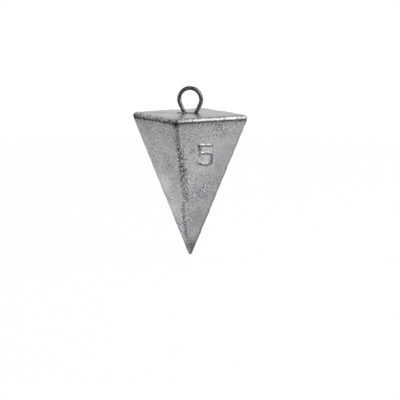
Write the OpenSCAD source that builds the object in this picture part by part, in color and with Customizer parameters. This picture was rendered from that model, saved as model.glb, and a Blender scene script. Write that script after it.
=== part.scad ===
// Pyramid sinker: a lead weight shaped like an upside-down pyramid, cast round the
// legs of a wire eye. The origin is the centre of the eye, and +Z points up, away
// from the lead. The eye lies in the XZ plane, where the two halves of the mould meet,
// so the square top has its corners on the X and Y axes.

/* [Lead casting] */
// Width of the square top across its flat sides
body_w = 27.5; // [24:0.1:34]
// Height from the flat top to the point
body_h = 45.7; // [38:0.1:60]
// Radius of the rounded rim and of the four sloping edges
edge_r = 1.35; // [0.6:0.05:2.4]
// Radius of the rounded point
tip_r = 0.55; // [0.3:0.05:1.2]

/* [Figure] */
// Width of the figure 5, without its tail
figure_w = 5.8; // [4:0.1:7.5]
// Height of the figure
figure_h = 7.8; // [5.5:0.1:10]
// Width of the figure's strokes
stroke_w = 0.9; // [0.6:0.05:1.2]
// Height of the figure above the face
figure_rise = 0.3; // [0.15:0.05:0.6]
// Distance from the lead's top down the face to the figure
figure_down = 9; // [7:0.1:13]
// Distance of the figure's middle to the left of the middle of the face
figure_left = 1; // [0:0.1:1.6]

/* [Wire eye] */
// Diameter of the wire
wire_d = 1.2; // [0.8:0.05:1.6]
// Clear width inside the eye
eye_w = 6.1; // [5:0.05:9]
// Gap between the lead's top and the circle of the eye, if the circle were closed
eye_lift = 0.35; // [0:0.1:2]
// Clear gap between the two legs where they go into the lead
leg_gap = 2.5; // [2:0.1:3.5]
// Smallest clear gap between the two legs, inside the lead
neck_gap = 0.9; // [0.4:0.1:1.2]
// Radius of the turn from a leg to its foot, along the middle of the wire
turn_r = 1.8; // [1.2:0.1:2.4]
// Straight length of each foot
foot_l = 3; // [1.5:0.1:4.5]

/* [Hidden] */

$fn = 48;
// Facets round the edges of the casting
edge_fn = 32;
lead_colour = [0.62, 0.62, 0.64];
wire_colour = [0.31, 0.31, 0.32];

// Angles: a foot from straight down, the drop of the figure's bars to the right, and
// the lean of its uprights to the left
foot_angle = 68;
bar_drop = 3.6;
upright_lean = 10;

// Depth to which the figure is rooted in the lead
figure_root = 0.5;
// How much wider than the wire a joint of its bends is, and how far inside that joint
// a straight length starts
joint_swell = 0.01;
joint_gap = 0.08;

// The wire, measured along its middle
wire_r = wire_d / 2;
eye_r = (eye_w + wire_d) / 2;
eye_up = eye_w / 2 + wire_d + eye_lift;
leg_x = leg_gap / 2 + wire_r;
// A leg leaves the circle along its tangent and meets the lead's top at leg_x
leg_lean = atan2(eye_up, leg_x) - acos(eye_r / norm([leg_x, eye_up]));
// The turn touches the leg's line and comes no nearer to the middle than the neck
turn_x = neck_gap / 2 + wire_r + turn_r;
turn_z = (turn_x * cos(leg_lean) - eye_r - turn_r) / sin(leg_lean);
turn_mid = [turn_x, turn_z];
leg_top = [eye_r * cos(leg_lean), -eye_r * sin(leg_lean)];
leg_end = turn_mid + turn_r * [-cos(leg_lean), sin(leg_lean)];
foot_start = turn_mid - turn_r * [cos(foot_angle), sin(foot_angle)];
foot_end = foot_start + foot_l * [sin(foot_angle), -cos(foot_angle)];

// The casting
top_z = -eye_up;
point_z = top_z - body_h;
corner_in = body_w / 2 - edge_r;
corner_reach = corner_in * sqrt(2);
corner_z = top_z - edge_r;
round_z = point_z + tip_r;
// A side face touches the balls at its two corners and the one at the point
face_tilt = acos((tip_r - edge_r) / norm([corner_in, corner_z - round_z]))
    - atan2(corner_z - round_z, corner_in);
// Distance from the middle line to a side face, at the height of the flat top
face_out = corner_in + edge_r * cos(face_tilt) + edge_r * (1 + sin(face_tilt)) * tan(face_tilt);

// The figure's strokes run along these points, as shares of its width and height, from
// its lower left corner
upright_shares = [[1, 1], [0, 1], [0, 0.45]];
bowl_start_shares = [[0, 0.45], [0.17, 0.57]];
// Corners of the bowl: the middle of each bend
bend_w_share = 0.16;
bend_h_share = 0.13;
bowl_top_share = 0.57;
tail_shares = [[0.24, 0], [0.08, 0.09], [-0.2, 0.11]];
bend_step = 22.5;
bowl_shares = concat(
    bowl_start_shares,
    [for (a = [90 : -bend_step : 0])
        [1 - bend_w_share + bend_w_share * cos(a), bowl_top_share - bend_h_share + bend_h_share * sin(a)]],
    [for (a = [0 : -bend_step : -90])
        [1 - bend_w_share + bend_w_share * cos(a), bend_h_share + bend_h_share * sin(a)]],
    tail_shares);

// A point of the figure on its face: its bars drop and its uprights lean
function placed(share) =
    let (across = (share.x - 0.5) * (figure_w - stroke_w), up = (share.y - 1) * (figure_h - stroke_w))
    [across * cos(bar_drop) - up * sin(upright_lean), up * cos(upright_lean) - across * sin(bar_drop)];

function unit(v) = v / norm(v);
function left_of(v) = [-v.y, v.x];
// The corner of a stroke's edge at point i of its path, on the side that side names
function edge_point(path, i, side) =
    let (last = len(path) - 1,
        before = unit(path[max(i, 1)] - path[max(i, 1) - 1]),
        after = unit(path[min(i, last - 1) + 1] - path[min(i, last - 1)]),
        mid = unit(left_of(before) + left_of(after)))
    path[i] + mid * side * stroke_w / 2 / (mid * left_of(before));
function stroke(path) = concat(
    [for (i = [0 : len(path) - 1]) edge_point(path, i, 1)],
    [for (i = [len(path) - 1 : -1 : 0]) edge_point(path, i, -1)]);

module pyramid() {
    hull() {
        for (turn = [0 : 90 : 270])
            rotate(turn)
                translate([corner_reach, 0, corner_z])
                    sphere(r = edge_r, $fn = edge_fn);
        translate([0, 0, round_z])
            sphere(r = tip_r, $fn = edge_fn);
    }
}

// The figure stands on the face between the front corner and the right-hand one
module figure() {
    rotate(-45)
        translate([face_out, 0, top_z])
            rotate([0, face_tilt, 0])
                translate([-figure_root, -figure_left, -figure_down - stroke_w / 2])
                    rotate([90, 0, 90])
                        linear_extrude(figure_root + figure_rise) {
                            polygon(stroke([for (share = upright_shares) placed(share)]));
                            polygon(stroke([for (share = bowl_shares) placed(share)]));
                        }
}

// A bend of the wire in the XZ plane, which sweeps anticlockwise from an angle to +X
module bend(middle, radius, from, sweep) {
    translate([middle.x, 0, middle.y])
        rotate([90, 0, 0])
            rotate(from)
                rotate_extrude(angle = sweep)
                    translate([radius, 0])
                        circle(wire_r);
}

// A straight length of wire between two points of the XZ plane
module straight(from, to) {
    way = to - from;
    translate([from.x, 0, from.y])
        rotate([0, atan2(way.x, way.y), 0])
            translate([0, 0, joint_gap])
                cylinder(r = wire_r, h = norm(way) - 2 * joint_gap);
}

// A joint between a bend and a straight length, a hair wider than the wire
module joint(at) {
    translate([at.x, 0, at.y])
        sphere(wire_r + joint_swell);
}

// One leg and its foot, on the right
module leg() {
    joint(leg_top);
    straight(leg_top, leg_end);
    joint(leg_end);
    bend(turn_mid, turn_r, 180 - leg_lean, leg_lean + foot_angle);
    joint(foot_start);
    straight(foot_start, foot_end);
}

module wire() {
    bend([0, 0], eye_r, -leg_lean, 180 + 2 * leg_lean);
    leg();
    mirror([1, 0, 0])
        leg();
}

module lead_body() {
    color(lead_colour)
        difference() {
            union() {
                pyramid();
                figure();
            }
            wire();
        }
}

module wire_eye() {
    color(wire_colour)
        wire();
}

lead_body();
wire_eye();
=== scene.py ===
import bpy
import numpy as np
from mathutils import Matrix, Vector


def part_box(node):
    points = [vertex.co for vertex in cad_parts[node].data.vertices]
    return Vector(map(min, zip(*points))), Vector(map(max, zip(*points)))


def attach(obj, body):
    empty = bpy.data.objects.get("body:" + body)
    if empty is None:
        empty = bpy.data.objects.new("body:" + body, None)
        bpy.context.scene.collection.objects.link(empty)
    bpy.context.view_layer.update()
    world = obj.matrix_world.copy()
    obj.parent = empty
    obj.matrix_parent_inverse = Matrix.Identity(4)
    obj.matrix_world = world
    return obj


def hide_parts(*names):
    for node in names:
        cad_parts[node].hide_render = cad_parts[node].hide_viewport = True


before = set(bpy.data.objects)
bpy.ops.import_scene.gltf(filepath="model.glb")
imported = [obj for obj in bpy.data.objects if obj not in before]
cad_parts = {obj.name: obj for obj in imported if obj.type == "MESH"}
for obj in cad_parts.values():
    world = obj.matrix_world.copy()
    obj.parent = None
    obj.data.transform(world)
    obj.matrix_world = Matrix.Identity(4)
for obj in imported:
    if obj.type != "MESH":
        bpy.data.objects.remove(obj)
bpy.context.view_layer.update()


# The camera
# A long lens, almost without perspective. It stands a little above the sinker's top and to
# the right of the corner that faces it.
CAMERA_TURN = 13.45
CAMERA_RISE = 6.25
METRES_A_PIXEL = 0.0003227
FRAME_PIXELS = 400
SENSOR_MM, FOCAL_MM = 36, 1500
LEAD_MIDDLE = Vector((0, 0, -0.02745))
# Where the middle of the lead's height lands in the frame, in pixels from its top left corner
MIDDLE_ACROSS, MIDDLE_DOWN = 190.19, 183.87

lens = bpy.data.cameras.new("long_lens")
lens.sensor_width = SENSOR_MM
lens.lens = FOCAL_MM
distance = METRES_A_PIXEL * FRAME_PIXELS * FOCAL_MM / SENSOR_MM
lens.clip_start = 0.1
lens.clip_end = 4 * distance

turn, rise = np.radians([CAMERA_TURN, CAMERA_RISE])
towards = Vector((np.sin(turn) * np.cos(rise), -np.cos(turn) * np.cos(rise), np.sin(rise)))
facing = towards.to_track_quat("Z", "Y")
aim = (LEAD_MIDDLE
       + facing @ Vector((1, 0, 0)) * (FRAME_PIXELS / 2 - MIDDLE_ACROSS) * METRES_A_PIXEL
       - facing @ Vector((0, 1, 0)) * (FRAME_PIXELS / 2 - MIDDLE_DOWN) * METRES_A_PIXEL)

camera = bpy.data.objects.new("camera", lens)
camera.rotation_euler = facing.to_euler()
camera.location = aim + towards * distance
bpy.context.collection.objects.link(camera)
bpy.context.scene.camera = camera
bpy.context.scene.view_settings.view_transform = "Standard"


# The wire eye
# One length of drawn steel wire, dark and a little streaky, bent to a ring with two legs that
# lean in to each other and turn outwards in feet inside the lead. It is laid in the mould, and
# the lead is cast round it.
WIRE_R = 0.00065
EYE_R = 0.00365
LEG_X = 0.00185
NECK_X = 0.00105
TURN_R = 0.0018
FOOT_ANGLE = np.radians(68)
FOOT_L = 0.003
WIRE_STEP, WIRE_COLUMNS = 0.00014, 28
SMALL_DENT, WIDE_DENT = 0.000012, 0.000022
END_FLAT, END_RISE, END_EDGE_RISE = 0.8, 0.00008, 0.00006
WIRE_DARK, WIRE_LIGHT = 0.12, 0.28
WIRE_TINT = (1.0, 1.0, 0.97)
WIRE_ROUGH = 0.2
STREAK_MM, STREAK_RELIEF_MM = 0.5, 0.03

lead_low, lead_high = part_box("lead_body")
top_z, point_z = lead_high[2], lead_low[2]
leg_lean = np.arctan2(-top_z, LEG_X) - np.arccos(EYE_R / np.hypot(LEG_X, top_z))
turn_x = NECK_X + TURN_R
turn_z = (turn_x * np.cos(leg_lean) - EYE_R - TURN_R) / np.sin(leg_lean)


def ripple(points, size, seed, waves=48):
    """A smooth random relief, mostly between -1 and 1: the sum of plane waves about size long, whose
    directions, lengths and phases come from a seeded generator."""
    chance = np.random.default_rng(seed)
    directions = chance.normal(size=(waves, 3))
    directions /= np.linalg.norm(directions, axis=1, keepdims=True)
    lengths = size * chance.uniform(0.7, 1.5, (waves, 1))
    phases = chance.uniform(0, 2 * np.pi, waves)
    return np.cos(points @ (2 * np.pi * directions / lengths).T + phases).sum(-1) / np.sqrt(waves)


def closed_surface(name, grid):
    """A closed mesh object from a grid of points, rows from pole to pole and columns all the way round.

    The first and the last row are one point each and become a single vertex with a fan of triangles.
    Every other cell is a four-sided face between two neighbouring rows and two neighbouring columns."""
    rows, columns = grid.shape[:2]
    points = np.vstack([grid[:1, 0], grid[1:-1].reshape(-1, 3), grid[-1:, 0]])
    here = 1 + columns * np.arange(rows - 2)[:, None] + np.arange(columns)
    beside = np.roll(here, -1, axis=1)
    cells = np.stack([here[:-1], here[1:], beside[1:], beside[:-1]], -1).reshape(-1, 4)
    first_fan = np.stack([np.zeros(columns, int), here[0], beside[0]], -1)
    last_fan = np.stack([np.full(columns, len(points) - 1), beside[-1], here[-1]], -1)
    mesh = bpy.data.meshes.new(name)
    mesh.from_pydata(points.tolist(), [], cells.tolist() + first_fan.tolist() + last_fan.tolist())
    mesh.shade_smooth()
    piece = bpy.data.objects.new(name, mesh)
    bpy.context.collection.objects.link(piece)
    return piece


def wire_middle(step):
    """Points along the middle of the wire, about a step apart, with the way the wire runs at each.

    The right half is the ring from its top down to the leg, the straight leg, the turn and the straight
    foot, each a stretch of a circle or a line that starts in the direction in which the last one ended.
    The left half is its mirror image, run the other way."""
    ring = np.linspace(np.pi / 2, -leg_lean, int(EYE_R * (np.pi / 2 + leg_lean) / step))
    ring_points = EYE_R * np.stack([np.cos(ring), np.sin(ring)], -1)
    ring_ways = np.stack([np.sin(ring), -np.cos(ring)], -1)
    bend = np.linspace(np.pi - leg_lean, np.pi + FOOT_ANGLE, int(TURN_R * (leg_lean + FOOT_ANGLE) / step))
    bend_points = np.array([turn_x, turn_z]) + TURN_R * np.stack([np.cos(bend), np.sin(bend)], -1)
    bend_ways = np.stack([-np.sin(bend), np.cos(bend)], -1)
    leg_l = np.linalg.norm(bend_points[0] - ring_points[-1])
    leg = np.linspace(0, 1, int(leg_l / step))[1:-1, None]
    leg_points = ring_points[-1] + leg * (bend_points[0] - ring_points[-1])
    leg_ways = np.broadcast_to(ring_ways[-1], leg_points.shape)
    foot_far = np.linspace(0, FOOT_L, int(FOOT_L / step))[1:, None]
    foot_points = bend_points[-1] + foot_far * bend_ways[-1]
    foot_ways = np.broadcast_to(bend_ways[-1], foot_points.shape)
    right = np.concatenate([ring_points, leg_points, bend_points, foot_points])
    ways = np.concatenate([ring_ways, leg_ways, bend_ways, foot_ways])
    left = right[:0:-1] * [-1, 1]
    left_ways = ways[:0:-1] * [1, -1]
    return np.concatenate([left, right]), np.concatenate([left_ways, ways])


middle, ways = wire_middle(WIRE_STEP)
around = np.linspace(0, 2 * np.pi, WIRE_COLUMNS, endpoint=False)
middle_3d = np.column_stack([middle[:, 0], np.zeros(len(middle)), middle[:, 1]])
ways_3d = np.column_stack([ways[:, 0], np.zeros(len(ways)), ways[:, 1]])
outwards = np.column_stack([-ways[:, 1], np.zeros(len(ways)), ways[:, 0]])
sideways = np.cross(outwards, ways_3d)
ring_grid = (np.cos(around)[None, :, None] * outwards[:, None]
             + np.sin(around)[None, :, None] * sideways[:, None])
tube = middle_3d[:, None] + WIRE_R * ring_grid
dents = SMALL_DENT * ripple(tube, 0.0017, 5) + WIDE_DENT * ripple(tube, 0.0042, 6)
tube = tube + dents[..., None] * ring_grid
# The two cut ends are flat, with a worn edge: the flat is narrower than the wire, and rises a
# little past the wire's last ring, in its middle more than at its edge
caps = [middle_3d[end] + share * (tube[end] - middle_3d[end]) + past * ways_3d[end]
        for end, share, past in ((0, 0.0, -END_RISE), (0, END_FLAT, -END_EDGE_RISE),
                                 (-1, END_FLAT, END_EDGE_RISE), (-1, 0.0, END_RISE))]
tube = np.concatenate([caps[:2], tube, caps[2:]])
eye = closed_surface("eye_wire", tube)


class Share:
    """A value or colour in a material's node tree. Adding, multiplying or comparing shares adds the Math
    node that works it out, so a pattern is written as a sum."""

    def __init__(self, tree, socket):
        self.tree, self.socket = tree, socket

    def node(self, kind, settings, inputs, output=0):
        """Adds a node of this kind: its settings first, then the value or the link of each input. Gives
        back one of its outputs."""
        made = self.tree.nodes.new(kind)
        for name, value in settings.items():
            setattr(made, name, value)
        for name, value in inputs.items():
            if isinstance(value, Share):
                self.tree.links.new(value.socket, made.inputs[name])
            else:
                made.inputs[name].default_value = value
        return Share(self.tree, made.outputs[output])

    def maths(self, operation, *values):
        """One Math node on these values or links."""
        return self.node("ShaderNodeMath", {"operation": operation}, dict(enumerate(values)))

    def __add__(self, other):
        return self.maths("ADD", self, other)

    def __sub__(self, other):
        return self.maths("SUBTRACT", self, other)

    def __rsub__(self, other):
        return self.maths("SUBTRACT", other, self)

    def __mul__(self, other):
        return self.maths("MULTIPLY", self, other)

    def __truediv__(self, other):
        return self.maths("DIVIDE", self, other)

    __radd__, __rmul__ = __add__, __mul__

    def most(self, other):
        """The larger of two values."""
        return self.maths("MAXIMUM", self, other)

    def step(self, start, end):
        """0 up to start and 1 from end on, with a smooth step between them, which falls if end is less."""
        if start > end:
            return 1 - self.step(end, start)
        return self.node("ShaderNodeMapRange", {"interpolation_type": "SMOOTHSTEP"},
                         {"Value": self, "From Min": start, "From Max": end})

    def near(self, place, width):
        """A hump, 1 where the value is at place and 0 from width away."""
        return 1 - self.maths("ABSOLUTE", self - place).step(0, width)


def tinted(level, tint):
    """A colour that goes from black at level 0 to the tint at level 1."""
    return level.node("ShaderNodeMix", {"data_type": "RGBA"},
                      {0: level, 6: (0, 0, 0, 1), 7: (*tint, 1)}, output=2)


def new_material(name):
    """An empty material with one surface shader, and the share to start its nodes from: the place on the
    piece, in millimetres."""
    material = bpy.data.materials.new(name)
    material.use_nodes = True
    tree = material.node_tree
    shader = tree.nodes["Principled BSDF"]
    place = Share(tree, tree.nodes.new("ShaderNodeTexCoord").outputs["Object"])
    place = place.node("ShaderNodeVectorMath", {"operation": "SCALE"}, {0: place, "Scale": 1000.0})
    return material, shader, place


# At scale 1 the patches of noise are about this wide, and nearly all its values lie between
# these two
NOISE_PATCH = 0.6
NOISE_LOW, NOISE_HIGH = 0.28, 0.72


def grain(place, size, detail, rough):
    """A cloudy pattern, spread over 0 to 1, with patches about size millimetres across. Finer patterns are
    added to it, as many as detail says, each fainter than the one before by the factor rough."""
    cloud = place.node("ShaderNodeTexNoise", {}, {"Vector": place, "Scale": NOISE_PATCH / size,
                                                  "Detail": detail, "Roughness": rough})
    return cloud.node("ShaderNodeMapRange", {},
                      {"Value": cloud, "From Min": NOISE_LOW, "From Max": NOISE_HIGH})


def relieved(place, relief):
    """The surface's normals, tilted by a relief in millimetres."""
    return place.node("ShaderNodeBump", {}, {"Height": relief, "Strength": 1.0, "Distance": 0.001},
                      output="Normal")


def set_finish(shader, settings, links):
    """Sets the shader's constant sockets, and links the ones that change over the surface."""
    for name, value in settings.items():
        shader.inputs[name].default_value = value
    for name, value in links.items():
        value.tree.links.new(value.socket, shader.inputs[name])


eye_finish, eye_shader, place = new_material("eye_wire")
streak = grain(place, STREAK_MM, 3.0, 0.6)
eye_level = WIRE_DARK + (WIRE_LIGHT - WIRE_DARK) * streak.step(0.35, 0.7)
set_finish(eye_shader, {"Metallic": 0.8},
           {"Base Color": tinted(eye_level, WIRE_TINT),
            "Roughness": WIRE_ROUGH + 0.2 * streak,
            "Normal": relieved(place, STREAK_RELIEF_MM * streak)})
eye.data.materials.append(eye_finish)

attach(eye, "root")
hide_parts("wire_eye")


# The lead casting
# Lead poured into a two-part mould: a square pyramid, point down, with a rounded rim and
# rounded sloping edges, and a figure 5 that was cut into the mould. Grey as-cast lead is satin
# metal under a thin dull skin, speckled where it took the mould's grain.
EDGE_R = 0.00135
TIP_R = 0.00055
CORNER_R = 0.0002
# The four sides, by the way each faces, in degrees from +X
FIGURE_SIDE, RIGHT_BACK, LEFT_BACK, LEFT_SIDE = -45, 45, 135, 225
CORNER_COLUMNS = 13
RIM_ROWS, TIP_ROWS = 12, 8

corner_in = (lead_high[0] - EDGE_R) / np.sqrt(2)
rim_z = top_z - EDGE_R
tip_z = point_z + TIP_R
slope = np.hypot(corner_in, rim_z - tip_z)
face_tilt = np.arccos((TIP_R - EDGE_R) / slope) - np.arctan2(rim_z - tip_z, corner_in)


def spread(first, *stretches):
    """Places from first on, from a list of stretches (end, step): each goes on from the last one's end to
    its own end in equal steps of about its own step."""
    places = [np.array([first])]
    for end, step in stretches:
        start = places[-1][-1]
        count = int(np.ceil((end - start) / step))
        places.append(start + (end - start) * np.arange(1, count + 1) / count)
    return np.concatenate(places)


def turned(degrees):
    """Unit vectors in plan at these angles from +X, as an array with two columns."""
    angle = np.radians(degrees)
    return np.stack([np.cos(angle), np.sin(angle)], -1)


# Where the columns of the grid stand across each side, from -1 to 1: close together at the figure
side_shares = {
    FIGURE_SIDE: spread(-1.0, (-0.72, 0.024), (0.42, 0.0137), (1.0, 0.027)),
    RIGHT_BACK: np.linspace(-1, 1, 54),
    LEFT_BACK: np.linspace(-1, 1, 54),
    LEFT_SIDE: np.linspace(-1, 1, 90),
}


def lead_columns():
    """The columns of the casting's grid, counterclockwise from the start of the figure's side.

    Along a side a column's foot on the rim moves from corner to corner; round a corner it runs round a
    small quarter circle, while the way it faces turns by ninety degrees. Gives back each column's foot in
    plan, the turn that it faces and the turn of its side."""
    feet, faces, sides = [], [], []
    reach = corner_in - CORNER_R
    corner = np.arange(1, CORNER_COLUMNS + 1) / (CORNER_COLUMNS + 1)
    for side, share in side_shares.items():
        out, along = turned(side), turned(side + 90)
        feet += [out * corner_in + share[:, None] * reach * along,
                 (out + along) * reach + CORNER_R * turned(side + 90 * corner)]
        faces += [np.full(len(share), float(side)), side + 90 * corner]
        sides += [np.full(len(share) + CORNER_COLUMNS, float(side))]
    return np.concatenate(feet), np.concatenate(faces), np.concatenate(sides)


def side_normals(side, face):
    """The way a column's stretch of side faces: square to the tilted side, and round a corner turned from
    one side's normal to the next one's by the shortest way, as far on as the column itself has turned."""
    tilted = [np.column_stack([turned(turn) * np.cos(face_tilt), np.full(len(turn), -np.sin(face_tilt))])
              for turn in (side, side + 90)]
    return turn_over(tilted[0], tilted[1], ((face - side) / 90)[:, None])


def turn_over(start, end, part):
    """Unit vectors turned from start towards end by the shortest way, by the given part of the angle."""
    whole = np.arccos(np.clip(np.sum(start * end, axis=-1, keepdims=True), -1, 1))
    return (np.sin((1 - part) * whole) * start + np.sin(part * whole) * end) / np.sin(whole)


def hump(distance, width):
    """A smooth hump, 1 at distance 0 and nearly gone at twice the width: e to the power of minus the
    square of distance over width."""
    return np.exp(-(distance / width) ** 2)


def smooth_step(value, start, end):
    """0 up to start and 1 from end on, with a smooth step between them, which falls if end is less. It is
    three times the square of the share of the way less twice its cube."""
    share = np.clip((value - start) / (end - start), 0, 1)
    return share * share * (3 - 2 * share)


def note(piece, name, values):
    """Keeps one number for each point of a closed surface, given on its grid, for its material to read."""
    kept = np.concatenate([values[:1, 0], values[1:-1].ravel(), values[-1:, 0]])
    piece.data.attributes.new(name, "FLOAT", "POINT").data.foreach_set("value", kept.astype(np.float32))


# The rows of the grid: over the top from its middle, fine round the legs of the eye, round
# the rim, down the sides, fine where the figure is, and round the point
top_rows = spread(0.0, (0.0034, 0.00013), (0.0115, 0.0004), (corner_in, 0.00018))
rim_rows = np.linspace(0, 1, RIM_ROWS + 1)[1:]
side_rows = spread(0.0, (0.0014, 0.00014), (0.0066, 0.00036), (0.0172, 0.000125),
                   (slope - 0.002, 0.00042), (slope, 0.0002))[1:]
tip_rows = np.linspace(0, 1, TIP_ROWS + 1)[1:]

foot, face_turn, side_turn = lead_columns()
facing_out = side_normals(side_turn, face_turn)
upright = np.array([0.0, 0.0, 1.0])
columns = len(foot)

# Over the top the rings grow from circles round the middle to the square of the rim
outline = foot + EDGE_R * turned(face_turn)
ring_turn = outline / np.linalg.norm(outline, axis=1, keepdims=True)
out_share = (top_rows / corner_in)[:, None, None]
top_plan = top_rows[:, None, None] * (1 - out_share ** 2) * ring_turn + out_share ** 3 * foot
top_core = np.concatenate([top_plan, np.full(top_plan.shape[:2] + (1,), rim_z)], -1)
top_facing = np.broadcast_to(upright, top_core.shape)

rim_foot = np.column_stack([foot, np.full(columns, rim_z)])
rim_core = np.broadcast_to(rim_foot, (len(rim_rows), columns, 3))
rim_facing = turn_over(upright, facing_out, rim_rows[:, None, None])

down_share = (side_rows / slope)[:, None, None]
tip_core_point = np.array([0.0, 0.0, tip_z])
side_core = (1 - down_share) * rim_foot + down_share * tip_core_point
side_facing = np.broadcast_to(facing_out, side_core.shape)

tip_core = np.broadcast_to(tip_core_point, (len(tip_rows), columns, 3))
tip_facing = turn_over(facing_out, -upright, tip_rows[:, None, None])

core = np.concatenate([top_core, rim_core, side_core, tip_core])
facing_grid = np.concatenate([top_facing, rim_facing, side_facing, tip_facing])
radius = np.concatenate([np.full(len(top_rows) + len(rim_rows), EDGE_R),
                         EDGE_R + (TIP_R - EDGE_R) * side_rows / slope,
                         np.full(len(tip_rows), TIP_R)])
skin = core + radius[:, None, None] * facing_grid

# How far each point is over the rim, along the surface: below 0 on the flat top, and past
# RIM_ROUND down the side. How far it is from the two sloping edges that lie deep in the mould's
# halves, in front and behind, below 0 to their left, and from the two where the halves meet.
RIM_ROUND = EDGE_R * (np.pi / 2 + face_tilt)
over_rim = np.concatenate([top_rows - corner_in, RIM_ROUND * rim_rows, RIM_ROUND + side_rows,
                           RIM_ROUND + slope + TIP_R * tip_rows])
over_rim = np.broadcast_to(over_rim[:, None], skin.shape[:2])
down = over_rim - RIM_ROUND
on_side = smooth_step(over_rim, 0.5 * RIM_ROUND, RIM_ROUND)
deep_across = skin[..., 0] * np.sqrt(2)
from_deep_edge = np.abs(deep_across)
from_seam_edge = np.abs(skin[..., 1]) * np.sqrt(2)

# The raised figure stands up from its side with a flat crest and steep flanks. Its strokes are
# sloping straight lines and the two round bends of its bowl.
FIGURE_W, FIGURE_H = 0.0055, 0.0075
STROKE_W = 0.0009
FLANK_FOOT, FLANK_TOP = 0.00055, 0.00027
STROKE_WAVER = 0.000025
OPEN_END_FADE = 0.0004
FIGURE_RISE = 0.00042
FIGURE_DOWN = 0.00922
FIGURE_LEFT = 0.00113
BAR_DROP, UPRIGHT_LEAN = np.radians([3.6, 10])
BEND_WIDE, BEND_HIGH = 0.22, 0.17
STEM_END = 0.435
BOWL_TOP = 0.58
BEND_POINTS = 7
NOWHERE_NEAR = 0.01


def quarter(middle, start, end):
    """Points of a bend of the bowl, in shares of the figure's width and height: a stretch of an ellipse
    about its middle from the start angle to the end angle."""
    bend = turned(np.linspace(start, end, BEND_POINTS))
    return np.array(middle) + bend * [BEND_WIDE, BEND_HIGH]


def placed(shares):
    """Places in the face, right and up from the middle of the figure's top, for points in shares of its
    width and height: its bars drop to the right and its uprights lean to the left."""
    right = (np.array(shares)[:, 0] - 0.5) * (FIGURE_W - STROKE_W)
    up = (np.array(shares)[:, 1] - 1) * (FIGURE_H - STROKE_W)
    return np.stack([right * np.cos(BAR_DROP) - up * np.sin(UPRIGHT_LEAN),
                     up * np.cos(UPRIGHT_LEAN) - right * np.sin(BAR_DROP)], -1)


def distance_from(stroke, places):
    """How far each place is from a stroke's middle line: the least of its distances from the straight
    stretches between the line's points, each measured to the nearest point of the stretch."""
    start, step = stroke[:-1], np.diff(stroke, axis=0)
    gap = places[..., None, :] - start
    share = np.clip(np.sum(gap * step, -1) / np.sum(step ** 2, -1), 0, 1)
    return np.linalg.norm(gap - share[..., None] * step, axis=-1).min(-1)


upright_stroke = placed([[1, 1], [0, 1], [0, STEM_END]])
bowl_stroke = placed(np.concatenate([
    [[0, STEM_END], [0.1, BOWL_TOP]],
    quarter([1 - BEND_WIDE, BOWL_TOP - BEND_HIGH], 90, 0),
    quarter([1 - BEND_WIDE, BEND_HIGH], 0, -90),
    [[0.55, -0.015], [0.28, -0.045], [0.1, 0.02], [-0.2, 0.045]]]))


def from_figure(places):
    """How far each place is from the nearer one of the figure's two strokes."""
    return np.minimum(distance_from(upright_stroke, places), distance_from(bowl_stroke, places))


# The figure's face has its own two directions, right and up its slope, from the middle of
# the line where it would meet the top if the rim were sharp
face_out, face_right = turned(FIGURE_SIDE), turned(FIGURE_SIDE + 90)
up_slope = np.append(face_out * np.sin(face_tilt), np.cos(face_tilt))
sharp_in = corner_in + EDGE_R * np.cos(face_tilt) + EDGE_R * (1 + np.sin(face_tilt)) * np.tan(face_tilt)
face_start = np.append(face_out * sharp_in, top_z)
figure_places = np.stack([(skin - face_start) @ np.append(face_right, 0) + FIGURE_LEFT,
                          (skin - face_start) @ up_slope + FIGURE_DOWN + STROKE_W / 2], -1)
on_figure_side = (side_turn == FIGURE_SIDE) & (face_turn == FIGURE_SIDE)
from_stroke = np.full(skin.shape[:2], NOWHERE_NEAR)
from_stroke[:, on_figure_side] = from_figure(figure_places[:, on_figure_side])
from_stroke = from_stroke + STROKE_WAVER * ripple(skin, 0.0009, 7)
figure_right, figure_up = figure_places[..., 0], figure_places[..., 1]
# The bowl's open end runs out flat
from_stroke = from_stroke + (OPEN_END_FADE * smooth_step(figure_right, -0.0012, -0.0026)
                             * smooth_step(figure_up, -0.005, -0.0056))
crest = smooth_step(from_stroke, FLANK_FOOT, FLANK_TOP)
# A painted highlight lies on the figure's upper flanks, which face the light from above: along its top
# bar and at one spot on each of its bowl's bars. They are where the crest is higher than it is just above
FLANK_HIGHLIGHT_UP = np.array([0, 0.0001])
crest_above = smooth_step(from_figure(figure_places[:, on_figure_side] + FLANK_HIGHLIGHT_UP), FLANK_FOOT, FLANK_TOP)
top_bar = (smooth_step(figure_up, -0.0018, -0.0012) * smooth_step(figure_right, 0.0021, 0.0016)
           * (1 - hump(figure_right, 0.00042)))
bowl_spots = hump(figure_right - np.where(figure_up > -0.005, -0.0012, 0.0001), 0.0006)
painted_flank_highlight = np.zeros(skin.shape[:2])
painted_flank_highlight[:, on_figure_side] = np.clip(crest[:, on_figure_side] - crest_above, 0, 1)
painted_flank_highlight = painted_flank_highlight * np.maximum(top_bar, bowl_spots)
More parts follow.
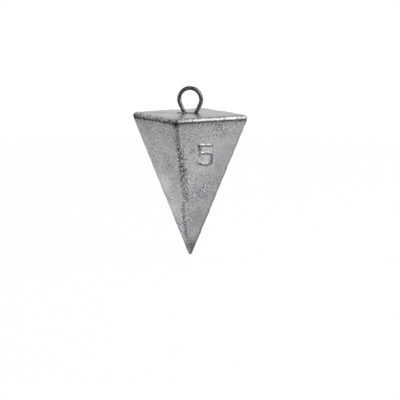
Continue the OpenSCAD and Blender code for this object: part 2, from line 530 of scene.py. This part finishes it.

# Marks of uneven tone: the side of each, how far right of the side's middle and down from the rim it
# is, half its width and half its height, all in millimetres, and how much lighter, more speckled and
# more crusted the lead is there. Some are patches that the mould and handling left; others are painted
# light: painted shade and highlights on the figure, painted dark reflections at the rim and corners,
# and lighter and darker stretches of the sides.
MARKS = [
    (FIGURE_SIDE, -11.0, -0.9, 3.6, 0.6, -0.35, 0.0, 0.0),
    (FIGURE_SIDE, 1.6, 0.4, 3.6, 0.5, -0.10, 0.5, 0.35),
    (FIGURE_SIDE, 3.0, 1.6, 2.4, 1.3, -0.17, 0.8, 0.3),
    (FIGURE_SIDE, 5.0, 3.8, 1.8, 1.1, -0.22, 0.5, 0.1),
    (FIGURE_SIDE, 6.6, 5.2, 1.4, 0.4, -0.08, 0.1, 0.1),
    (FIGURE_SIDE, -2.6, 5.0, 3.0, 1.3, -0.02, 0.3, 0.1),
    (FIGURE_SIDE, 6.0, 11.0, 3.4, 7.0, -0.08, -0.75, -0.4),
    (FIGURE_SIDE, -0.4, 11.2, 2.4, 3.6, 0.22, -0.6, -0.4),
    (FIGURE_SIDE, -3.8, 8.0, 0.4, 0.45, -0.6, 0.0, 0.2),
    (FIGURE_SIDE, -4.1, 9.1, 0.4, 0.4, 0.35, -0.5, -0.3),
    (FIGURE_SIDE, -5.1, 9.3, 0.4, 0.3, -0.4, 0.0, 0.2),
    (FIGURE_SIDE, 1.4, 7.7, 0.35, 0.4, -0.5, 0.0, 0.1),
    (FIGURE_SIDE, -1.2, 7.5, 0.35, 0.3, -0.35, 0.0, 0.1),
    (FIGURE_SIDE, -3.1, 10.1, 0.55, 1.7, 0.5, -0.7, -0.2),
    (FIGURE_SIDE, -2.1, 10.1, 0.5, 0.3, 0.6, -0.5, -0.2),
    (FIGURE_SIDE, -0.4, 10.8, 2.0, 0.4, -0.25, 0.1, 0.1),
    (FIGURE_SIDE, -2.1, 14.3, 1.0, 0.4, -0.35, 0.3, 0.3),
    (FIGURE_SIDE, 0.4, 14.9, 0.9, 0.4, -0.35, 0.3, 0.3),
    (FIGURE_SIDE, 1.4, 24.4, 3.0, 3.2, -0.02, 0.6, 0.25),
    (FIGURE_SIDE, -3.0, 26.0, 1.8, 2.8, -0.02, 0.5, 0.2),
    (FIGURE_SIDE, 1.0, 32.0, 2.6, 3.6, -0.12, -0.9, -0.4),
    (FIGURE_SIDE, -2.5, 33.6, 0.9, 1.2, 0.0, 0.5, 0.5),
    (LEFT_SIDE, 1.5, 4.4, 6.5, 2.6, -0.02, 0.6, 0.15),
    (LEFT_SIDE, -3.0, 1.5, 5.0, 0.9, 0.02, -0.5, -0.3),
    (LEFT_SIDE, -5.7, 9.4, 1.6, 1.4, -0.14, 0.4, 0.1),
    (LEFT_SIDE, 1.1, 16.0, 3.2, 1.3, -0.10, 0.3, 0.2),
    (LEFT_SIDE, -9.0, 11.0, 2.6, 5.0, 0.0, -0.6, -0.3),
    (LEFT_SIDE, -3.4, 21.6, 4.4, 3.2, 0.22, -0.6, -0.4),
    (LEFT_SIDE, -0.6, 10.6, 1.2, 0.9, -0.12, 0.4, 0.3),
    (LEFT_SIDE, 1.6, 13.4, 0.9, 1.0, -0.12, 0.4, 0.3),
    (LEFT_SIDE, -3.0, 29.8, 3.4, 2.0, 0.14, -0.5, -0.3),
    (LEFT_SIDE, -1.3, 26.2, 1.4, 1.2, 0.04, 0.4, 0.5),
    (LEFT_SIDE, -0.8, 36.4, 2.2, 2.4, -0.14, 0.6, 0.5),
    (LEFT_SIDE, -3.3, 36.4, 0.8, 2.2, -0.3, 0.6, 0.5),
    (LEFT_SIDE, -2.1, 40.0, 0.9, 2.4, -0.3, 0.5, 0.4),
    (LEFT_SIDE, 12.3, 0.3, 1.5, 0.8, -0.45, 0.3, 0.5),
    (LEFT_SIDE, -11.9, -0.6, 0.7, 1.0, -0.65, -0.6, -0.4),
    (LEFT_SIDE, -10.6, -0.45, 2.0, 0.45, -0.45, -0.6, -0.4),
    (RIGHT_BACK, 3.0, 6.0, 5.0, 3.0, -0.04, 0.5, 0.2),
    (RIGHT_BACK, -4.0, 18.0, 3.0, 5.0, 0.08, -0.4, -0.3),
    (LEFT_BACK, -4.0, 5.0, 4.0, 2.5, -0.06, 0.5, 0.2),
    (LEFT_BACK, 2.0, 17.0, 3.5, 5.0, 0.06, -0.4, -0.3),
    (LEFT_BACK, 1.0, 30.0, 2.0, 3.0, -0.05, 0.5, 0.3),
]
MARK_WAVER = 0.22


def mark_strength(side, right, below, half_w, half_h):
    """How strong a mark is over the skin: 1 at its middle on the side's plane, and less with the distance
    across, down and off that plane, each over its own size: e to the power of minus the cube of all
    three together. The fine wave makes its outline waver."""
    out, along = turned(side), turned(side + 90)
    outward = np.append(out * np.cos(face_tilt), -np.sin(face_tilt))
    downward = -np.append(out * np.sin(face_tilt), np.cos(face_tilt))
    start = np.append(out * corner_in, rim_z) + EDGE_R * outward
    gap = skin - start - (np.append(along, 0) * right + downward * below) / 1000
    far = np.hypot(np.hypot(gap @ np.append(along, 0) / half_w, gap @ downward / half_h) * 1000,
                   gap @ outward / EDGE_R)
    return np.exp(-np.clip(far * (1 + MARK_WAVER * fine_wave), 0, None) ** 3)


# Where the lead froze against the mould it is uneven: a swollen, wavy rim with a groove
# under it, a thin ridge where the two halves of the mould met, shallow sinks and small pits.
RIM_SWELL, SWELL_W = 0.00010, 0.0009
GROOVE_DEPTH, GROOVE_W = 0.00012, 0.0003
SEAM_RISE, SEAM_W, TOP_SEAM_W = 0.00007, 0.00014, 0.0005
WIDE_SINK, SINK, FINE_SINK = 0.00004, 0.000014, 0.000012
EDGE_WEAR, WEAR_W = 0.00003, 0.0006
ROUGH_DEPTH, ROUGH_SIZE = 0.00006, 0.0007
PIT_DEPTH, PIT_SIZE, PIT_FROM = 0.00007, 0.0016, 1.75

wide_wave = ripple(skin, 0.011, 1)
wave = ripple(skin, 0.0031, 2)
fine_wave = ripple(skin, 0.0011, 3)
marks = np.array(MARKS)
strengths = np.stack([mark_strength(*mark[:5]) for mark in marks])

# Two opposite sides have a rough rim, where the lead chilled as the mould was filled
plan_r = np.linalg.norm(skin[..., :2], axis=-1)
rough_side = np.clip(0.5 + 6 * skin[..., 0] * skin[..., 1] / (plan_r + 0.0001) ** 2, 0, 1)
rim_start = (0.12 + 0.46 * hump(from_seam_edge, 0.0036)) * RIM_ROUND
rough_rim = (rough_side * smooth_step(over_rim - rim_start, 0.0, 0.25 * RIM_ROUND)
             * smooth_step(down, 0.0007, 0.0))

# The sloping edges deep in the mould's halves are rough too, and the same band carries a painted dark
# reflection in the lightness below. At these distances down from the rim the crust lies this far aside
# of the edge, both in millimetres, and this is the share of its full width and how strong it is
CRUST_DOWN = [0, 2, 5, 9, 13, 17, 21, 24, 27, 29, 34, 38, 43]
CRUST_ASIDE = [-0.5, -0.5, -0.6, 0.1, 0.4, 0.4, 0.3, 0.5, 0.5, -1.4, -1.3, -1.1, -0.3]
CRUST_WIDTH = [1, 1, 1, 1, 1, 1, 1, 0.9, 0.7, 0.5, 0.5, 0.5, 0.6]
CRUST_STRENGTH = [0.4, 0.4, 0.5, 0.7, 1.1, 0.95, 0.75, 0.6, 0.6, 0.7, 0.85, 1.0, 0.5]
aside = np.interp(down * 1000, CRUST_DOWN, CRUST_ASIDE) / 1000
from_crust = (np.abs(deep_across - aside) * (1 - 0.15 * wave - 0.1 * fine_wave)
              / np.interp(down * 1000, CRUST_DOWN, CRUST_WIDTH))
deep_edge = (on_side * smooth_step(from_crust, 0.0027, 0.0007)
             * np.interp(down * 1000, CRUST_DOWN, CRUST_STRENGTH))

swell = RIM_SWELL * hump(over_rim - 0.55 * RIM_ROUND, SWELL_W) * (0.8 + 0.5 * wave + 0.5 * fine_wave)
groove = GROOVE_DEPTH * hump(down + 0.00035, GROOVE_W) * (1 + 0.45 * wave)
seam = (SEAM_RISE * (hump(skin[..., 1], SEAM_W) * (over_rim > 0)
                     + hump(skin[..., 1], TOP_SEAM_W) * (over_rim <= 0)
                     * smooth_step(skin[..., 0], 0.006, 0.0))
        * np.clip(0.75 + 0.6 * wave, 0, 1.3))
uneven = ((WIDE_SINK * wide_wave + SINK * wave + FINE_SINK * fine_wave)
          * np.where(over_rim < 0, 0.35, 1))
edge_wear = EDGE_WEAR * hump(from_deep_edge, WEAR_W) * (wave + fine_wave) * on_side
rough = ROUGH_DEPTH * (rough_rim + 0.6 * deep_edge) * ripple(skin, ROUGH_SIZE, 8)
pits = PIT_DEPTH * np.clip(ripple(skin, PIT_SIZE, 4) - PIT_FROM, 0, 1)
shift = (swell - groove + seam + uneven + edge_wear + rough - pits
         + FIGURE_RISE * crest * (1 + 0.12 * fine_wave))
skin = skin + shift[..., None] * facing_grid

# Round the two legs of the eye the lead climbed a little up the wire, the seam stands up higher
# and a few small lumps are left, each with its place across and back from the middle in
# millimetres
CLIMB, CLIMB_W = 0.0003, 0.00035
FLASH_RISE, FLASH_W = 0.00024, 0.0003
LUMP_RISE, LUMP_R = 0.00045, 0.00034
LUMPS = [(-2.3, -0.4), (1.2, -0.6), (2.8, -0.4)]
near_legs = smooth_step(np.abs(skin[..., 0] + 0.0007), 0.0044, 0.0034) * (over_rim < 0)
flash = FLASH_RISE * near_legs * hump(skin[..., 1], FLASH_W) * np.clip(0.7 + 0.8 * fine_wave, 0.1, 1.5)
lumps = sum(hump(np.hypot(skin[..., 0] - across / 1000, skin[..., 1] - back / 1000), LUMP_R)
            for across, back in LUMPS) * (over_rim < 0)
skin = skin + (flash + LUMP_RISE * lumps)[..., None] * upright
leg_way = np.array([-np.sin(leg_lean), 0, -np.cos(leg_lean)])
leg_foot = np.array([LEG_X, 0, top_z])
round_leg = np.zeros(skin.shape[:2])
for mirror in ([1, 1, 1], [-1, 1, 1]):
    gap = skin - leg_foot * mirror
    way = leg_way * mirror
    from_leg = np.linalg.norm(gap - (gap @ way)[..., None] * way, axis=-1) - WIRE_R
    round_leg += np.exp(-np.clip(from_leg, -0.0002, None) / CLIMB_W) * (over_rim < 0)
skin = skin + (CLIMB * round_leg * (1 + 0.4 * ripple(skin, 0.0007, 10)))[..., None] * upright

# How light, how speckled and how crusted the lead is over the whole skin. Its lightness is darker at
# its point and along the top seam, and holds painted light: the figure's side is painted darker, more
# so towards the point, the left side lighter low down and the top darker; painted shade lies on the
# upper roll of the rough rims, along the sloping edges and round the legs' feet; the seam edges are
# darker with grime in the parting line and a painted dark outline where they turn away; painted
# highlights lie on the lumps.
near_point = smooth_step(down, 0.0385, 0.044)
top_seam = (smooth_step(over_rim, 0.0, -0.0006) * smooth_step(skin[..., 0], 0.003, 0.001)
            * hump(skin[..., 1], 0.0013))
shade = (1 + np.tensordot(marks[:, 5], strengths, 1) - 0.5 * near_point
         - (side_turn == FIGURE_SIDE) * (0.07 + 0.15 * smooth_step(down, 0.012, 0.028))
         + (side_turn == LEFT_SIDE) * 0.06 * smooth_step(down, 0.004, 0.010)
         - 0.1 * rough_side * hump(over_rim - 0.4 * RIM_ROUND, 0.0009)
         - 0.15 * (over_rim < 0) - 0.5 * on_side * hump(from_seam_edge, 0.0009) * (1 - near_point)
         - 0.38 * deep_edge * (1 - near_point) - 0.3 * top_seam
         - 0.24 * hump(from_deep_edge, 0.001) * smooth_step(down, 0.027, 0.031) * (1 - near_point)
         - 0.35 * np.sqrt(np.clip(round_leg, 0, 1)) + 0.9 * lumps
         + 0.05 * np.clip(wide_wave, -1, 1) * on_side)
grit = (0.9 + 0.4 * np.clip(ripple(skin, 0.006, 9), -1, 1) + 0.15 * (side_turn == LEFT_SIDE)
        + 0.7 * deep_edge + 0.6 * rough_rim
        + np.tensordot(marks[:, 6], strengths, 1)) * (0.2 + 0.8 * on_side)
crust = np.clip(0.62 * rough_rim + 0.85 * deep_edge + 0.8 * np.clip(round_leg, 0, 1) - lumps
                + np.tensordot(marks[:, 7], strengths, 1), 0, 1.2)

lead = closed_surface("cast_lead_body", skin)
note(lead, "over_rim", over_rim * 1000)
note(lead, "from_stroke", from_stroke * 1000)
note(lead, "painted_flank_highlight", painted_flank_highlight)
note(lead, "shade", shade)
note(lead, "grit", np.clip(grit, 0.1, 2.0))
note(lead, "crust", crust)


def noted(place, name):
    """One of the numbers that are kept with the piece's points."""
    return place.node("ShaderNodeAttribute", {"attribute_name": name}, {}, output="Fac")


LEAD_LEVEL = 0.49
LEAD_TINT = (1.0, 0.985, 1.02)
round_mm = RIM_ROUND * 1000

lead_finish, lead_shader, place = new_material("cast_lead")
over, stroke, flank_highlight_share = noted(place, "over_rim"), noted(place, "from_stroke"), noted(place, "painted_flank_highlight")
lightness, gritty, crusted = noted(place, "shade"), noted(place, "grit"), noted(place, "crust")

# The as-cast skin is cloudy at three sizes and speckled and dusty at two
tone = grain(place, 7.0, 3.0, 0.55)
cloud = grain(place, 2.4, 4.0, 0.6)
wander = grain(place, 0.9, 3.0, 0.65)
speck = grain(place, 0.29, 1.0, 0.5)
dust = grain(place, 0.17, 2.0, 0.6)

# Painted glints stand as bright specks in the crust. The pits are dark, and painted shade lies where the
# rim meets the side, with a fainter painted shadow below it. The figure's body is darker than the side:
# duller lead with a painted dark reflection on its crest. A painted shade runs along the foot of its
# strokes, and a painted highlight lies on its upper flanks. The top is smoothest.
on_top = over.step(0.0, -0.9)
rim_band = over.near(0.5 * round_mm, 1.1)
painted_glint = speck.step(0.65, 0.9) * crusted
skin_tone_and_painted_light = LEAD_LEVEL * lightness * (1 + 0.18 * (tone - 0.5) + 0.22 * (cloud - 0.5)
                                 + 0.55 * gritty * (speck - 0.5) + 0.9 * painted_glint)
rim_crease_shade = (over + 0.4 * (wander - 0.5)).near(round_mm - 0.3, 0.65)
under_rim_shadow = over.step(round_mm - 0.6, round_mm - 0.2) * over.step(round_mm + 2.2, round_mm)
pitted = (0.7 * (1 - speck) + 0.3 * wander + 0.4 * crusted + 0.15 * rim_crease_shade).step(0.70, 0.95)
body = stroke.step(0.46, 0.32) * (1 - flank_highlight_share)
stroke_foot_shade = stroke.near(0.58, 0.16) * (1 - flank_highlight_share)
pit_dirt_and_shade = (1 - (0.4 + 0.35 * crusted) * pitted) * (1 - (0.8 - 0.5 * crusted) * rim_crease_shade) * (1 - 0.3 * under_rim_shadow)
level = skin_tone_and_painted_light * pit_dirt_and_shade * (1 - 0.55 * body) * (1 - 0.1 * stroke_foot_shade) * (1 + 0.9 * flank_highlight_share)
lead_rough = 0.42 - 0.08 * on_top - 0.14 * rim_band + 0.12 * (cloud - 0.5) - 0.1 * crusted
relief = (0.10 * wander + 0.11 * speck + 0.02 * dust) * (0.2 + 0.8 * gritty) * (1 - 0.85 * on_top)
set_finish(lead_shader, {"Metallic": 0.9},
           {"Base Color": tinted(level, LEAD_TINT),
            "Roughness": lead_rough,
            "Normal": relieved(place, relief)})
lead.data.materials.append(lead_finish)

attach(lead, "root")
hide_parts("lead_body")


# The floor and the light
# A plain white floor just under the point, a soft lamp to the right, and a room that is white
# behind the sinker, grey behind to the left, straight above and low all round, and dark
# elsewhere, as the metal mirrors it.
FLOOR_R, FLOOR_CORNERS = 0.35, 96
FLOOR_GAP = 0.0002
FLOOR_WHITE, PLAIN_WHITE = 0.9, 0.97
ROOM = 0.08
SIDE_CARD, TOP_CARD, WALL = 0.8, 0.7, 0.6
FILL = 0.5
LAMP_SIZE, LAMP_POWER = 0.9, 5.9
LAMP_PLACE = Vector((0.60, 0.0, 0.38))
angles = np.linspace(0, 2 * np.pi, FLOOR_CORNERS, endpoint=False)
floor_mesh = bpy.data.meshes.new("floor")
floor_points = np.column_stack([FLOOR_R * np.cos(angles), FLOOR_R * np.sin(angles),
                                np.full(FLOOR_CORNERS, point_z - FLOOR_GAP)])
floor_mesh.from_pydata(floor_points.tolist(), [], [list(range(FLOOR_CORNERS))])
floor = bpy.data.objects.new("floor", floor_mesh)
bpy.context.collection.objects.link(floor)


def on_rays(tree, *kinds):
    """1 for a ray of any of these kinds, and 0 for every other ray."""
    path = tree.nodes.new("ShaderNodeLightPath")
    found = Share(tree, path.outputs[kinds[0]])
    for kind in kinds[1:]:
        found = found.most(Share(tree, path.outputs[kind]))
    return found


def dot(way, direction):
    """How far a way reaches in a direction of three numbers: the sum of the products of their parts."""
    return way.node("ShaderNodeVectorMath", {"operation": "DOT_PRODUCT"}, {0: way, 1: tuple(direction)},
                    output="Value")


# The floor is nearly plain white to the camera and in the metal, so only a trace of the shadow
# shows. In the metal its near left part falls off.
floor_finish, floor_shader, place = new_material("white_floor")
tree = floor_finish.node_tree
mirrored = on_rays(tree, "Is Glossy Ray")
seen = on_rays(tree, "Is Camera Ray", "Is Glossy Ray", "Is Transmission Ray")
set_finish(floor_shader, {"Base Color": (FLOOR_WHITE, FLOOR_WHITE, FLOOR_WHITE, 1), "Roughness": 0.8}, {})
near_left = dot(place, (-np.sin(turn), -np.cos(turn), 0))
lit = 1 - 0.75 * near_left.step(12.0, 50.0) * mirrored
white = place.node("ShaderNodeEmission", {}, {"Strength": lit})
mixed = place.node("ShaderNodeMixShader", {},
                   {0: PLAIN_WHITE * seen, 1: Share(tree, floor_shader.outputs[0]), 2: white})
tree.links.new(mixed.socket, tree.nodes["Material Output"].inputs["Surface"])
floor.data.materials.append(floor_finish)

# The room: a backdrop that is white low down and greyer higher up, a grey card behind to the
# left, another overhead, and a low grey wall all round
world = bpy.data.worlds.new("room")
world.use_nodes = True
bpy.context.scene.world = world
tree = world.node_tree
way = Share(tree, tree.nodes.new("ShaderNodeTexCoord").outputs["Generated"])
seen = on_rays(tree, "Is Camera Ray", "Is Transmission Ray")
mirrored = on_rays(tree, "Is Glossy Ray")
to_left = np.array([-np.cos(turn), -np.sin(turn), 0])
to_back = np.array([-np.sin(turn), np.cos(turn), 0])
height = dot(way, (0, 0, 1))
beside = dot(way, 0.8 * to_left + 0.6 * to_back)
level_square = 1 - height * height
level_way = dot(way, to_back) / level_square.maths("SQRT", level_square)
backdrop = level_way.step(0.5, 0.88) * (0.6 * height.step(0.92, 0.78) + 0.4 * height.step(0.55, 0.42))
card = beside.step(0.35, 0.65) * level_way.step(0.38, 0.6)
overhead = height.step(0.9, 0.98)
wall = height.step(0.0, 0.06) * height.step(0.45, 0.3)
room = (ROOM + (SIDE_CARD - ROOM) * card).most(backdrop).most(TOP_CARD * overhead).most(WALL * wall)
light = seen.most(mirrored * room + (1 - mirrored) * FILL)
tree.links.new(light.socket, tree.nodes["Background"].inputs["Color"])

lamp = bpy.data.lights.new("soft_box", "AREA")
lamp.shape = "SQUARE"
lamp.size = LAMP_SIZE
lamp.energy = LAMP_POWER
soft_box = bpy.data.objects.new("soft_box", lamp)
soft_box.location = LAMP_PLACE
soft_box.rotation_euler = LAMP_PLACE.to_track_quat("Z", "Y").to_euler()
bpy.context.collection.objects.link(soft_box)
